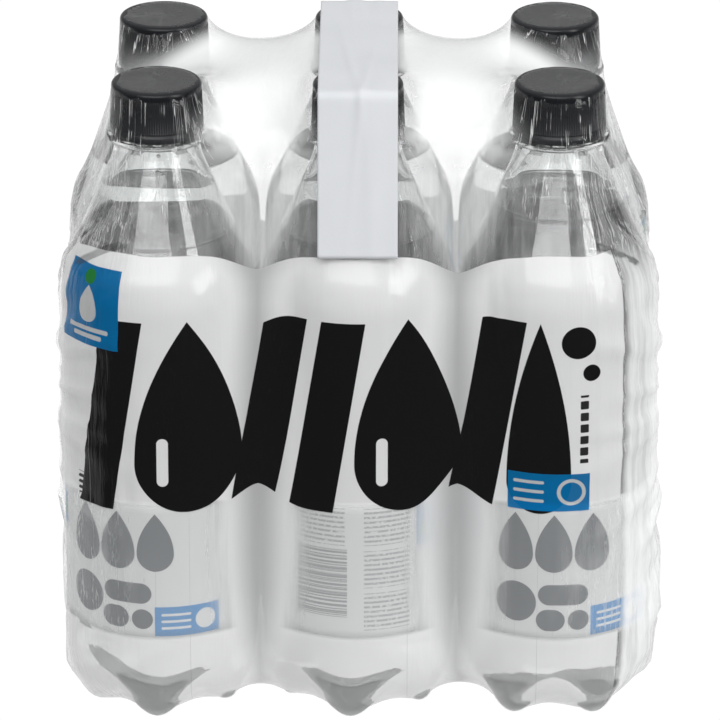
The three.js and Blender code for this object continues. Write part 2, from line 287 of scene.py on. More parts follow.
def new_piece(name, grid, material, replaced, wraps=True, place=(0, 0, 0)):
    """A mesh of four-sided faces over a grid of points in millimetres, rows by columns by 3,
    moved to place. The columns close on themselves where it wraps, and a row on the axis
    becomes one point."""
    rows, columns = grid.shape[:2]
    row, column = np.meshgrid(np.arange(rows - 1), np.arange(columns if wraps else columns - 1),
                              indexing="ij")
    number = np.arange(rows * columns).reshape(rows, columns)
    for end in (0, -1):
        if np.abs(grid[end, :, :2] - grid[end, 0, :2]).max() < 1e-6:
            number[end] = number[end, 0]
    beside = (column + 1) % columns
    corners = np.stack([number[row, column], number[row, beside],
                        number[row + 1, beside], number[row + 1, column]], 2).reshape(-1, 4)
    used, corners = np.unique(corners, return_inverse=True)
    corners = corners.reshape(-1, 4)
    faces = [list(dict.fromkeys(face)) for face in corners.tolist()]
    points = grid.reshape(-1, 3)[used] + np.asarray(place)
    return mesh_piece(name, points, faces, material, replaced)


def keep_attribute(piece, name, values):
    """Stores one value or vector for each point of the mesh, to be read by its material."""
    kind, key = ("FLOAT_VECTOR", "vector") if values.ndim == 3 else ("FLOAT", "value")
    layer = piece.data.attributes.new(name, kind, "POINT")
    layer.data.foreach_set(key, values.astype(np.float32).ravel())


def footprint(spot):
    """The middle of a bottle's feet on the ground, from its CAD box."""
    low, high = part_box(f"bottle_{spot}")
    return np.array([(low[0] + high[0]) / 2, (low[1] + high[1]) / 2, low[2]]) / MM


clear_pet, tree = new_material("clear_pet")
shell = add_node(tree, "ShaderNodeBsdfPrincipled", {
    "Base Color": (0.97, 0.978, 0.976, 1), "Roughness": 0.02, "IOR": 1.5,
    "Transmission Weight": 1.0})
add_node(tree, "ShaderNodeOutputMaterial", {"Surface": shell})

base_line = rounded_line(BASE, blend=5, step=1.0)
shoulder_line = rounded_line(SHOULDER, blend=9, step=1.1)
neck_line = rounded_line(NECK, blend=0.5, step=0.25)
inner_base, inner_shoulder = inset(base_line, WALL), inset(shoulder_line, WALL)
inner_shoulder = inner_shoulder[inner_shoulder[:, 1] < INNER_SHOULDER_TOP]
bore_line = rounded_line(BORE, blend=4, step=0.9)
bottle_line = np.concatenate([
    base_line, shoulder_line, neck_line[1:], bore_line, inner_shoulder[::-1], inner_base[::-1]])

for spot, turn in TURNS.items():
    new_piece(f"clear_bottle_{spot}", turned(bottle_line, BOTTLE_COLUMNS, turn), clear_pet,
              [f"bottle_{spot}"], place=footprint(spot))


# The water
# Still water fills each bottle to the middle of its shoulder. It climbs the wall a little at its
# edge, and beads cling inside the neck.

LEVELS = {  # heights of the water above the ground
    "front_left": 168, "front_middle": 168, "front_right": 177,
    "rear_left": 170, "rear_middle": 172, "rear_right": 169,
}
INTO_WALL = 0.12
CLIMB, CLIMB_WIDTH = 1.1, 1.3

still_water, tree = new_material("still_water")
body = add_node(tree, "ShaderNodeBsdfPrincipled", {
    "Base Color": (0.965, 0.975, 0.972, 1), "Roughness": 0.0, "IOR": 1.33,
    "Transmission Weight": 1.0})
add_node(tree, "ShaderNodeOutputMaterial", {"Surface": body})


def water_line(level):
    """The outline of the water: the inside of the bottle up to the climbing edge, then the
    surface, which is CLIMB * exp(-gap / CLIMB_WIDTH) higher at a gap from the wall."""
    side = np.concatenate([inset(inner_base, -INTO_WALL), inset(inner_shoulder, -INTO_WALL)])
    side = side[side[:, 1] < level + CLIMB - 0.5]
    edge = np.interp(level + CLIMB, inner_shoulder[:, 1], inner_shoulder[:, 0]) + INTO_WALL
    gap = np.append(np.linspace(0, 6, 16), np.linspace(7, edge, 8))
    surface = np.stack([edge - gap, level + CLIMB * np.exp(-gap / CLIMB_WIDTH), 0 * gap], 1)
    return np.concatenate([side, surface])


for spot, level in LEVELS.items():
    feet = footprint(spot)
    new_piece(f"still_water_{spot}", turned(water_line(level - feet[2]), BOTTLE_COLUMNS, TURNS[spot]),
              still_water, [f"water_{spot}"], place=feet)


# The caps
# Screw caps of near-black plastic: a satin top with a moulding dimple and a rounded rim, fine
# upright ribs to grip, and under a thin break line the smooth band that stays on the neck.

CAP_BOTTOM, CAP_TOP = 200.6, 217.8
CAP_FOOT_RADIUS, CAP_RIM_RADIUS = 15.3, 14.75
CAP_ROUNDING = 1.5
BREAK_LINE = 203.6
RIB_TOP = 215.2
RIBS, RIB_DEPTH, COLUMNS_PER_RIB = 120, 0.34, 4
CAP_WALL, CAP_ROOF = 1.4, 1.6
SUNK_TOP, DIMPLE_RADIUS, DIMPLE_DEPTH = 0.16, 0.8, 0.5


def cap_grid():
    """The cap's outline swung round Z, from under its roof down the inside, up the outside and
    over the top. The ribbed stretch is drawn in by RIB_DEPTH * (1 - cos(RIBS * a)) / 2."""
    inside = CAP_FOOT_RADIUS - CAP_WALL
    roof = CAP_TOP - CAP_ROOF
    rim_angle = np.linspace(0, pi / 2, 7)
    rim_middle = (CAP_RIM_RADIUS - CAP_ROUNDING, CAP_TOP - CAP_ROUNDING)
    outline = [(0, roof), (inside - 0.8, roof), (inside - 0.3, roof - 0.6), (inside, CAP_BOTTOM),
               (CAP_FOOT_RADIUS - 0.3, CAP_BOTTOM), (CAP_FOOT_RADIUS, CAP_BOTTOM + 0.3),
               (CAP_FOOT_RADIUS, BREAK_LINE - 0.25), (CAP_FOOT_RADIUS - 0.5, BREAK_LINE - 0.1),
               (CAP_FOOT_RADIUS - 0.5, BREAK_LINE + 0.1), (CAP_FOOT_RADIUS - 0.05, BREAK_LINE + 0.25),
               (CAP_FOOT_RADIUS - 0.05, BREAK_LINE + 0.5), (CAP_RIM_RADIUS + 0.05, RIB_TOP - 0.4),
               (CAP_RIM_RADIUS, RIB_TOP)]
    outline += [(rim_middle[0] + CAP_ROUNDING * np.cos(a), rim_middle[1] + CAP_ROUNDING * np.sin(a))
                for a in rim_angle]
    sunk = CAP_TOP - SUNK_TOP
    outline += [(12.2, CAP_TOP), (11.6, sunk), (6, sunk), (1.4, sunk), (DIMPLE_RADIUS, CAP_TOP - 0.3),
                (0.3, CAP_TOP - DIMPLE_DEPTH), (0, CAP_TOP - DIMPLE_DEPTH)]
    line = np.array([(radius, height, 0) for radius, height in outline])
    grid = turned(line, RIBS * COLUMNS_PER_RIB)
    radius, height, _ = line.T
    outside = (radius > CAP_RIM_RADIUS) & (height > BREAK_LINE + 0.4) & (height < RIB_TOP - 0.1)
    angle = np.linspace(0, 2 * pi, grid.shape[1], endpoint=False)
    drawn_in = RIB_DEPTH * (1 - np.cos(RIBS * angle)) / 2
    radius = np.maximum(radius, 1e-9)[:, None]
    grid[:, :, :2] *= (1 - outside[:, None] * drawn_in[None, :] / radius)[:, :, None]
    return grid


dark_plastic, tree = new_material("dark_cap_plastic")
spot_on = add_node(tree, "ShaderNodeTexCoord").outputs["Object"]
mottle = noise(tree, spot_on, 60.0, 3.0)
grain = noise(tree, spot_on, 2600.0, 2.0)
plastic = add_node(tree, "ShaderNodeBsdfPrincipled", {
    "Base Color": tinted(tree, mottle, (0.005, 0.0054, 0.0068, 1), (0.009, 0.0098, 0.0118, 1)),
    "Roughness": ramp(tree, mottle, 0.3, 0.7, 0.2, 0.3),
    "Normal": rough_normal(tree, grain, 0.00006, 0.5), "Specular IOR Level": 0.22})
add_node(tree, "ShaderNodeOutputMaterial", {"Surface": plastic})

for spot in TURNS:
    new_piece(f"dark_cap_{spot}", cap_grid(), dark_plastic, [f"cap_{spot}"],
              place=footprint(spot))


# The labels
# Thin white plastic wraps, glued round the lower half of each bottle with one end over the
# other. Slate drops and discs, a blue field and rows of small print are printed on them.

LABEL_LOW, LABEL_HIGH = 32.5, 82.8  # above the ground
LABEL_RADIUS, LABEL_THICKNESS = 32.15, 0.14
OVERLAP = 5.0  # degrees
LABEL_TURNS = {  # where the middle of the slate print faces, in degrees from the front
    "front_left": -26, "front_middle": 100, "front_right": -2,
    "rear_left": 205, "rear_middle": 130, "rear_right": 168,
}
LABEL_COLUMNS, LABEL_ROWS = 180, 12


def label_grid(turn):
    """Rows of heights and columns of angles on a cylinder, a little over one turn long; the last
    few degrees rise by 1.5 thicknesses to lie on the first. Returns the points and their places
    in the print: the distance along the label from the middle of its front, and the height."""
    angle = np.linspace(-pi, pi + radians(OVERLAP), LABEL_COLUMNS)[None, :]
    height = np.linspace(LABEL_LOW, LABEL_HIGH, LABEL_ROWS)[:, None]
    lap = np.clip((angle - pi + radians(OVERLAP)) / radians(OVERLAP), 0, 1)
    radius = LABEL_RADIUS + 1.5 * LABEL_THICKNESS * lap
    way = angle + radians(turn)
    parts = radius * np.sin(way), -radius * np.cos(way), height
    print_place = np.stack(np.broadcast_arrays(LABEL_RADIUS * angle, height, 0.0), 2)
    return np.stack(np.broadcast_arrays(*parts), 2), print_place


EDGE_BLUR = 0.12


def shape_group(name, inputs, draw):
    """A shader node group that puts out a mask, 1 on a printed shape. draw gets the tree, the
    place beside the shape's middle as x and y, and the group's other inputs by name."""
    group = bpy.data.node_groups.new(name, "ShaderNodeTree")
    group.interface.new_socket("Place", in_out="INPUT", socket_type="NodeSocketVector")
    group.interface.new_socket("Middle", in_out="INPUT", socket_type="NodeSocketVector")
    for key in inputs:
        group.interface.new_socket(key, in_out="INPUT", socket_type="NodeSocketFloat")
    group.interface.new_socket("Mask", in_out="OUTPUT", socket_type="NodeSocketFloat")
    source, sink = group.nodes.new("NodeGroupInput"), group.nodes.new("NodeGroupOutput")
    beside = add_node(group, "ShaderNodeVectorMath", {
        0: source.outputs["Place"], 1: source.outputs["Middle"]}, operation="SUBTRACT")
    x, y, _ = split(group, beside)
    depth = draw(group, x, y, {key: source.outputs[key] for key in inputs})
    group.links.new(ramp(group, depth, -EDGE_BLUR, EDGE_BLUR), sink.inputs[0])
    return group


def draw_bar(tree, x, y, given):
    """Depth inside a leaning bar with rounded corners: the corner less the length of what
    |x - lean * y| and |y| pass the half sizes less the corner by."""
    leaned = calc(tree, "SUBTRACT", x, calc(tree, "MULTIPLY", given["Lean"], y))
    over = []
    for value, half in ((leaned, given["Half width"]), (y, given["Half height"])):
        passed = calc(tree, "SUBTRACT", calc(tree, "ABSOLUTE", value), half)
        over.append(calc(tree, "MAXIMUM", calc(tree, "ADD", passed, given["Corner"]), 0.0))
    squares = [calc(tree, "MULTIPLY", value, value) for value in over]
    return calc(tree, "SUBTRACT", given["Corner"], calc(tree, "SQRT", calc(tree, "ADD", *squares)))


def draw_drop(tree, x, y, given):
    """Depth inside a drop: its half width is R * (1 - t * t) above the middle of its round part,
    with t = y / tip height, and R * sqrt(1 - s * s) below, with s = y / R."""
    t = calc(tree, "DIVIDE", calc(tree, "MAXIMUM", y, 0.0), given["Tip height"])
    s = calc(tree, "DIVIDE", calc(tree, "MINIMUM", y, 0.0), given["Radius"])
    taper = calc(tree, "SUBTRACT", 1.0, calc(tree, "MULTIPLY", t, t))
    left_over = calc(tree, "SUBTRACT", 1.0, calc(tree, "MULTIPLY", s, s))
    bowl = calc(tree, "SQRT", calc(tree, "MAXIMUM", left_over, 0.0))
    half = product(tree, given["Radius"], taper, bowl)
    return calc(tree, "SUBTRACT", half, calc(tree, "ABSOLUTE", x))


bar_shape = shape_group("printed bar", ("Half width", "Half height", "Lean", "Corner"), draw_bar)
drop_shape = shape_group("printed drop", ("Radius", "Tip height"), draw_drop)


def printed(tree, place, shapes):
    """One mask for a list of shapes, each ("bar", x, y, half width, half height, lean, corner)
    or ("drop", x, y, radius, tip height)."""
    mask = 0.0
    for kind, x, y, *sizes in shapes:
        group = bar_shape if kind == "bar" else drop_shape
        names = [item.name for item in group.interface.items_tree if item.in_out == "INPUT"][2:]
        node = add_node(tree, "ShaderNodeGroup", node_tree=group)
        tree.links.new(place, node.inputs["Place"])
        node.inputs["Middle"].default_value = (x, y, 0)
        for key, size in zip(names, sizes):
            node.inputs[key].default_value = size
        mask = calc(tree, "MAXIMUM", mask, node.outputs[0])
    return mask


def disc(x, y, radius):
    """A disc is a bar whose corner is as large as its half sizes."""
    return ("bar", x, y, radius, radius, 0, radius)


def without(tree, mask, hole):
    """A mask with another one cut out of it."""
    return calc(tree, "MULTIPLY", mask, calc(tree, "SUBTRACT", 1.0, hole))


WHITE_PLASTIC = (0.68, 0.69, 0.69, 1)
SLATE_INK = (0.072, 0.088, 0.102, 1)
BLUE_INK = (0.0, 0.22, 0.52, 1)
GREY_INK = (0.20, 0.215, 0.22, 1)
GREEN_INK = (0.03, 0.30, 0.12, 1)
LABEL_GLOW = 0.3  # share of the light that goes through a label

# Slate drops over slate discs, each row about twenty millimetres high
slate_shapes = [("drop", x, 64.0, 6.2, 14.5) for x in (-12.8, 0.3, 13.4)]
slate_shapes += [disc(-12.6, 46.4, 7.2), ("bar", 3.6, 49.6, 8.4, 3.7, 0.0, 3.7),
                 ("bar", -0.6, 40.4, 4.8, 3.9, 0.0, 3.9), disc(8.8, 40.3, 3.6)]
BLUE_BOX = ("bar", 24.2, 39.6, 11.2, 5.3, 0.0, 0.1)
box_marks = [("bar", 20.2, y, 5.0, 0.45, 0.0, 0.4) for y in (42.0, 39.6, 37.2)]
box_marks += [disc(30.3, 39.6, 3.6)]

# A block of level stripes and rows of words as dashes, left of the slate print
STRIPES_AT, WORDS_AT = -68.5, -46.0
stripe_block = ("bar", STRIPES_AT, 53.6, 8.9, 12.3, 0.0, 0.05)
ROW_SPACING, ROW_HALF = 1.7, 0.38
PARAGRAPHS = ((73.9, 6.7), (58.6, 6.7), (43.3, 6.7))  # middle and half height
side_field, side_disc = ("bar", -31.0, 73.5, 4.2, 8.6, 0.0, 0.1), disc(-31.0, 70.0, 3.0)


def in_rows(tree, place, spacing, start):
    """Places in the print with their heights wrapped into rows, so that one shape at height 0
    is drawn in each of them."""
    x, y, _ = split(tree, place)
    above = calc(tree, "SUBTRACT", y, start)
    in_row = calc(tree, "WRAP", above, spacing / 2, -spacing / 2)
    return add_node(tree, "ShaderNodeCombineXYZ", {0: x, 1: in_row}).outputs[0]


def small_print(tree, place, x, half_width, paragraphs, seed):
    """Rows of words: upright noise cuts each row into dashes of unlike length."""
    rows = in_rows(tree, place, ROW_SPACING, paragraphs[0][0])
    lines = printed(tree, rows, [("bar", x, 0.0, half_width, ROW_HALF, 0.0, 0.05)])
    blocks = [("bar", x, middle, half_width, half, 0.0, 0.05) for middle, half in paragraphs]
    words = noise(tree, place, 1.4, 2.0, 0.7, stretch=(0.75, 0.64, 1), shift=(seed, 0, 0))
    return product(tree, lines, printed(tree, place, blocks), ramp(tree, words, 0.40, 0.46))


wrap_label, tree = new_material("printed_wrap_label")
place = stored(tree, "print_place")
colour = WHITE_PLASTIC
colour = tinted(tree, printed(tree, place, slate_shapes), colour, SLATE_INK)
blue = printed(tree, place, [BLUE_BOX, side_field])
colour = tinted(tree, without(tree, blue, printed(tree, place, box_marks)), colour, BLUE_INK)
words = small_print(tree, place, WORDS_AT, 8.0, PARAGRAPHS, 3.0)
note = small_print(tree, place, STRIPES_AT, 8.2, PARAGRAPHS[:1], 11.0)
colour = tinted(tree, calc(tree, "MAXIMUM", words, note), colour, GREY_INK)
colour = tinted(tree, printed(tree, place, [side_disc]), colour, GREEN_INK)
stripes = ramp(tree, noise(tree, place, 1.35, 3.0, stretch=(0, 1, 0)), 0.47, 0.51)
colour = tinted(tree, product(tree, printed(tree, place, [stripe_block]), stripes), colour, GREY_INK)
sheen = noise(tree, place, 0.09, 2.0)
face = add_node(tree, "ShaderNodeBsdfPrincipled", {
    "Base Color": colour, "Roughness": ramp(tree, sheen, 0.35, 0.65, 0.3, 0.45)})
glow = add_node(tree, "ShaderNodeBsdfTranslucent", {"Color": colour})
both = mixed_shader(tree, LABEL_GLOW, face, glow)
add_node(tree, "ShaderNodeOutputMaterial", {"Surface": both})

for spot, turn in LABEL_TURNS.items():
    grid, print_place = label_grid(turn)
    feet = footprint(spot) * (1, 1, 0)
    label = new_piece(f"wrap_label_{spot}", grid, wrap_label, [f"label_{spot}"], wraps=False,
                      place=feet)
    keep_attribute(label, "print_place", print_place)
    thick = label.modifiers.new("thickness", "SOLIDIFY")
    thick.thickness, thick.offset = LABEL_THICKNESS * MM, 1


# The shrink film
# One sleeve of thin plastic, pulled over the bottles and shrunk with heat, so that it runs
# straight from cap to cap and dips between the bottles. Both ends stay open. A milky field with
# bold black shapes is printed on its front and back, and the rest is clear.

PITCH = footprint("front_right")[0] - footprint("front_middle")[0]
AXES = [(footprint(spot)[0], footprint(spot)[1], radians(turn)) for spot, turn in TURNS.items()]
GROUND_CLEARANCE = 0.25
FILM_GAP = 0.12
SPINE = 105.0  # the film is reached by rays from a line at this height
EYE_HALF_WIDTH = 40.0
END_RINGS, MIDDLE_RINGS, STEPS = 28, 128, 256
COARSER = (4, 2, 1)  # the skin is eased on a coarse grid first
PASSES = (320, 320, 240)
FLOOR_SMOOTHING = 8
ROOF_HOLD, SIDE_HOLD, FLOOR_HOLD = 0.27, 0.82, 0.22  # share of the pull that runs round the pack
GIRTH = np.array([(25, 0), (31.2, 11), (32.35, 24), (32.35, 149.5), (30.9, 157), (25.0, 168.4),
                  (18.2, 184.2), (14, 195), (14, 198.3), (16.7, 198.7), (16.7, 200.3), (15.3, 200.7),
                  (14.75, 216.3), (13.3, CAP_TOP)])
FEET_HEIGHT = footprint("front_left")[2]
VALLEY_RISE, BASE_HEIGHT = 8.5, 24  # how far the base rises between two feet, and where it ends


def clearance(points, gap=FILM_GAP):
    """How far outside the nearest bottle, cap or label points lie, level or straight up, less the
    gap; below zero inside. The girth at a height comes from the GIRTH line, and between two
    feet the base counts as higher."""
    height = points[..., 2] - FEET_HEIGHT
    near_feet = np.clip((BASE_HEIGHT - height) / BASE_HEIGHT, 0, 1)
    least = np.full(height.shape, np.inf)
    for x, y, turn in AXES:
        across, along = points[..., 0] - x, points[..., 1] - y
        valley = (1 - np.cos(FEET * (np.arctan2(across, -along) - turn))) / 2
        sunk = height - VALLEY_RISE * valley * near_feet
        outside = np.hypot(across, along) - np.interp(sunk, GIRTH[:, 1], GIRTH[:, 0])
        outside = np.maximum(outside, np.maximum(sunk - CAP_TOP, -0.5 - sunk))
        least = np.minimum(least, outside)
    return least - gap


def film_rays(end_rings, middle_rings, steps):
    """Starts and directions of the rays to the film's points, ring by ring from the left eye to
    the right one. Middle rings fan out square to the spine, and end rings from its ends."""
    rings = 2 * end_rings + middle_rings
    ring = np.arange(rings + 1)[:, None]
    turn = np.linspace(0, 2 * pi, steps, endpoint=False)[None, :]
    turn = turn + 0.22 * np.cos(turn)  # closer together on top
    from_eye = np.minimum(ring, rings - ring)
    side = np.where(ring > rings / 2, 1.0, -1.0)
    eye_tilt = np.arctan(EYE_HALF_WIDTH / (PITCH / 2 + BODY_RADIUS))
    tilt = eye_tilt + (pi / 2 - eye_tilt) * np.clip(from_eye / end_rings, 0, 1)
    along = np.clip(from_eye - end_rings, 0, None) / (middle_rings / 2)
    up = np.where(np.sin(turn) > 0, 0.95, 1.0) * SPINE
    starts = side * PITCH * (1 - along), 0 * turn, SPINE + 0 * turn
    ways = (side * BODY_RADIUS * np.cos(tilt), (PITCH / 2 + BODY_RADIUS) * np.sin(tilt) * np.cos(turn),
            up * np.sin(tilt) * np.sin(turn))
    starts, ways = (np.stack(np.broadcast_arrays(*parts), 2) for parts in (starts, ways))
    return starts, ways / np.linalg.norm(ways, axis=2, keepdims=True)


def bottle_reach(starts, ways, far=170.0, stride=1.5, halvings=8):
    """How far out along each ray its last point inside a bottle lies: found from outside in
    strides, then by halving the stride."""
    reach = np.zeros(starts.shape[:2])
    for distance in np.arange(stride, far, stride):
        hit = clearance(starts + ways * distance) < 0
        reach[hit] = distance
    step = stride / 2
    probe = reach + step
    for _ in range(halvings):
        hit = clearance(starts + ways * probe[..., None]) < 0
        step /= 2
        probe = probe + np.where(hit, step, -step)
    return np.where(reach > 0, probe, 0)


def finer(coarse, shape):
    """A coarse grid of reaches spread linearly over a finer one, closed round the steps."""
    row = np.linspace(0, coarse.shape[0] - 1, shape[0])
    column = np.arange(shape[1]) * coarse.shape[1] / shape[1]
    top = np.minimum(row.astype(int), coarse.shape[0] - 2)
    left = column.astype(int)
    down, over = (row - top)[:, None], (column - left)[None, :]
    wide = np.concatenate([coarse, coarse[:, :1]], axis=1)
    mixed = wide[:, left] * (1 - over) + wide[:, left + 1] * over
    return mixed[top] * (1 - down) + mixed[top + 1] * down


def pulled(here, before, after):
    """The point between two neighbours to which their even pull draws a point: their mean, each
    weighted by one over its distance."""
    near, far = (1 / np.maximum(np.linalg.norm(here - other, axis=2, keepdims=True), 1e-6)
                 for other in (before, after))
    return (before * near + after * far) / (near + far)


def stretched_skin():
    """The film as a skin under tension. Each point slides along its ray to where its neighbours
    round the pack and along it pull, but not into a bottle nor under the ground. The grid is
    refined twice on the way."""
    reach = None
    for coarser, passes in zip(COARSER, PASSES):
        starts, ways = film_rays(END_RINGS // coarser, MIDDLE_RINGS // coarser, STEPS // coarser)
        rise = ways[:, :, 2]
        most = np.where(rise < 0, (SPINE - GROUND_CLEARANCE) / np.maximum(-rise, 1e-9), np.inf)
        least = np.minimum(bottle_reach(starts, ways), most)
        round_share = np.interp(rise, (-0.9, -0.5, 0.5, 0.95),
                                (FLOOR_HOLD, SIDE_HOLD, SIDE_HOLD, ROOF_HOLD))
        round_share[[0, -1]] = 1.0
        reach = np.full(least.shape, 130.0) if reach is None else finer(reach, least.shape)
        reach = np.clip(reach, least, most)
        for _ in range(passes):
            here = starts + ways * reach[..., None]
            ring_goal = pulled(here, np.roll(here, 1, 1), np.roll(here, -1, 1))
            padded = np.concatenate([here[:1], here, here[-1:]])
            along_goal = pulled(here, padded[:-2], padded[2:])
            goal = ring_goal * round_share[..., None] + along_goal * (1 - round_share[..., None])
            goal = ((goal - starts) * ways).sum(2)
            reach = np.clip(reach + 0.9 * (goal - reach), least, most)
    # The floor is smoothed with the mean of each point's four neighbours
    low = np.interp(rise, (-0.6, -0.35), (0.8, 0))
    for _ in range(FLOOR_SMOOTHING):
        mean = (np.roll(reach, 1, 1) + np.roll(reach, -1, 1)) / 4
        mean[1:-1] += (reach[:-2] + reach[2:]) / 4
        mean[[0, -1]] *= 2
        reach = reach + low * (mean - reach)
    return starts + ways * np.minimum(reach, most)[..., None]


def skin_normals(skin):
    """Outward normals of the grid, from the differences of neighbouring points."""
    round_pack = np.roll(skin, -1, 1) - np.roll(skin, 1, 1)
    normal = np.cross(round_pack, np.gradient(skin, axis=0))
    return normal / np.linalg.norm(normal, axis=2, keepdims=True)


def tucks(skin, run):
    """Upright pleats in the front, in millimetres: each is a ridge exp(-(distance / width)^2)
    about a slanting line, fading out at its ends."""
    lines = [  # place along the film, lean, lowest and highest point, width, height
        (-89.0, 0.10, 28, 96, 2.3, 0.6), (-80.0, -0.05, 36, 94, 2.1, 0.5),
        (-74.0, 0.03, 74, 128, 2.2, 0.4), (-84.0, 0.06, 96, 150, 2.2, 0.45),
        (69.5, 0.02, 34, 84, 2.1, 0.5), (76.0, 0.05, 30, 98, 2.3, 0.6),
        (83.0, 0.03, 30, 160, 2.2, 0.55), (89.0, 0.04, 40, 165, 2.4, 0.7),
        (96.0, 0.02, 30, 150, 2.4, 0.8), (48.5, -0.12, 132, 168, 2.1, 0.4),
        (9.0, -0.02, 100, 165, 2.1, 0.3), (15.0, 0.02, 88, 140, 2.1, 0.25)]
    relief = np.zeros(run.shape)
    front = np.clip(-skin[:, :, 1] / 20 - 1, 0, 1)
    for at, lean, low, high, width, size in lines:
        height = skin[:, :, 2]
        distance = run - at - lean * (height - (low + high) / 2)
        fade = np.clip((height - low) / 12, 0, 1) * np.clip((high - height) / 12, 0, 1)
        relief += size * np.exp(-(distance / width) ** 2) * fade * front
    return relief


BULGE_BEARING, BULGE_WIDTH = 84, 26  # degrees


def slack(skin):
    """Slack film that stands off the outer front quarter of the end bottles, in millimetres: a
    bulge about a direction from the bottle's axis, with a ripple of two waves up its height."""
    height = skin[:, :, 2]
    past = np.abs(skin[:, :, 0]) - PITCH
    bearing = np.degrees(np.arctan2(past, -skin[:, :, 1] - PITCH / 2))
    right_bulge = np.interp(height, (2, 12, 25, 60, 130, 160), (1.5, 3.2, 3.4, 2.6, 1.6, 0))
    left_bulge = np.interp(height, (2, 10, 30, 60, 90, 130, 160), (2.6, 2.8, 0.3, 0.6, 1.9, 1.0, 0))
    level = np.where(skin[:, :, 0] > 0, right_bulge, left_bulge)
    ripple = 1 + 0.16 * np.sin(height / 3.1 + bearing / 9) + 0.12 * np.sin(height / 1.7 - bearing / 14)
    return level * ripple * np.exp(-((bearing - BULGE_BEARING) / BULGE_WIDTH) ** 2) * (past > 0)


def end_folds(steps_round, ring_share):
    """Folds that run out from the open eyes: waves of unlike counts round the pack whose height
    fades with the distance from the eye."""
    waves = np.random.default_rng(11)
    relief = np.zeros(np.broadcast_shapes(steps_round.shape, ring_share.shape))
    for count, size in ((17, 0.5), (29, 0.45), (43, 0.35), (61, 0.25), (83, 0.16)):
        phase, twist = waves.uniform(0, 2 * pi), waves.uniform(-4, 4)
        relief += size * np.sin(count * steps_round + phase + twist * ring_share)
    return np.maximum(relief, -0.25) * np.clip(1.15 - ring_share, 0, 1) ** 1.5


skin = stretched_skin()
along = np.linalg.norm(np.diff(skin, axis=0), axis=2)
run = np.concatenate([np.zeros((1, STEPS)), np.cumsum(along, axis=0)])
run -= run[run.shape[0] // 2]
rings = np.arange(skin.shape[0])[:, None]
ring_share = np.minimum(rings, rings[::-1]) / END_RINGS
steps_round = np.linspace(0, 2 * pi, STEPS, endpoint=False)[None, :]
relief = tucks(skin, run) + slack(skin) + end_folds(steps_round, ring_share)
skin = skin + skin_normals(skin) * relief[..., None]
skin[:, :, 2] = np.maximum(skin[:, :, 2], GROUND_CLEARANCE)
film_gap = np.maximum(clearance(skin, 0.0), 0)

# The print shrinks towards a middle height where the film spans the dips between bottles
REAR_PRINT_DROP, REAR_PRINT_SHIFT = 28.0, -17.0
STILL_HEIGHT, SHRINK_UP, SHRINK_DOWN, DEEP_DIP = 110.0, 0.13, 0.36, 10.0
rear = skin[:, :, 1] > 0
height = skin[:, :, 2] - STILL_HEIGHT
dip = np.clip(film_gap / DEEP_DIP, 0, 1)
shrink = np.where(height > 0, SHRINK_UP, SHRINK_DOWN) * dip * dip * (3 - 2 * dip)
height = STILL_HEIGHT + height * (1 + shrink) + REAR_PRINT_DROP * rear

# Across, the print follows the pack's length, then the arc round its end bottles
past = np.abs(skin[:, :, 0]) - PITCH
bend = BODY_RADIUS * np.arctan2(past, np.abs(skin[:, :, 1]) - PITCH / 2)
across = np.sign(skin[:, :, 0]) * (PITCH + np.where(past > 0, bend, past))
film_place = np.stack([np.where(rear, REAR_PRINT_SHIFT - across, across), height, skin[:, :, 1]], 2)


def cap_ways(points):
    """For each point the level direction from the nearest cap's axis, as a unit vector, and the
    distance from that axis."""
    across = points[:, :, None, 0] - np.array([axis[0] for axis in AXES])
    along = points[:, :, None, 1] - np.array([axis[1] for axis in AXES])
    distance = np.hypot(across, along)
    nearest = distance.argmin(2)[..., None]
    across, along, distance = (np.take_along_axis(part, nearest, 2)[..., 0]
                               for part in (across, along, distance))
    return np.stack([across / distance, along / distance, distance], 2)


CLEAR_TINT = (0.97, 0.98, 0.98, 1)
MILKY_INK = (0.90, 0.905, 0.905, 1)
PAINTED_DIP_SHADE = (0.50, 0.505, 0.505, 1)  # painted shade in the dips between bottles, where less light reaches the film
BLACK_INK = (0.006, 0.006, 0.0065, 1)
SKY_INK = (0.0, 0.22, 0.56, 1)
LEAF_INK = (0.02, 0.30, 0.05, 1)
WHITE_INK = (0.85, 0.86, 0.86, 1)
MILKY_LEFT, MILKY_RIGHT, MILKY_TOP = -108.0, 88.0, 167.0

# Bold black slanting bars and drops in one band, 67 millimetres high
BAND_MIDDLE, BAND_HALF = 112.5, 33.7
LEAN = 0.16
black_shapes = [("bar", x, BAND_MIDDLE, half, BAND_HALF, LEAN, 0.3)
                for x, half in ((-82.5, 7.0), (-29.0, 7.2), (-10.0, 7.2), (42.5, 7.2))]
black_shapes += [("drop", -55.5, 96.5, 17.6, 49.7), ("drop", 16.5, 96.5, 17.6, 49.7),
                 ("drop", 59.5, 89.5, 10.6, 56.7), disc(72.0, 139.5, 5.6), disc(76.5, 128.6, 2.9)]
drop_marks = [("bar", x, 97.0, 1.9, 8.5, 0.0, 1.9) for x in (-64.0, 8.0)]
badge = ("bar", -90.4, 148.9, 12.4, 13.2, 0.0, 0.2)
badge_marks = [("drop", -90.4, 147.2, 3.9, 8.6)]
badge_marks += [("bar", -90.4, y, half, 0.75, 0.0, 0.6) for y, half in ((141.0, 8.6), (138.6, 6.2))]
banner = ("bar", 62.8, 86.6, 13.4, 6.6, 0.0, 0.1)
banner_marks = [("bar", 56.2, y, 5.0, 0.55, 0.0, 0.5) for y in (90.1, 86.8, 83.5)]
ring_shapes = disc(70.2, 86.8, 4.7), disc(70.2, 86.8, 3.5)
leaf = disc(-90.4, 158.6, 2.4)

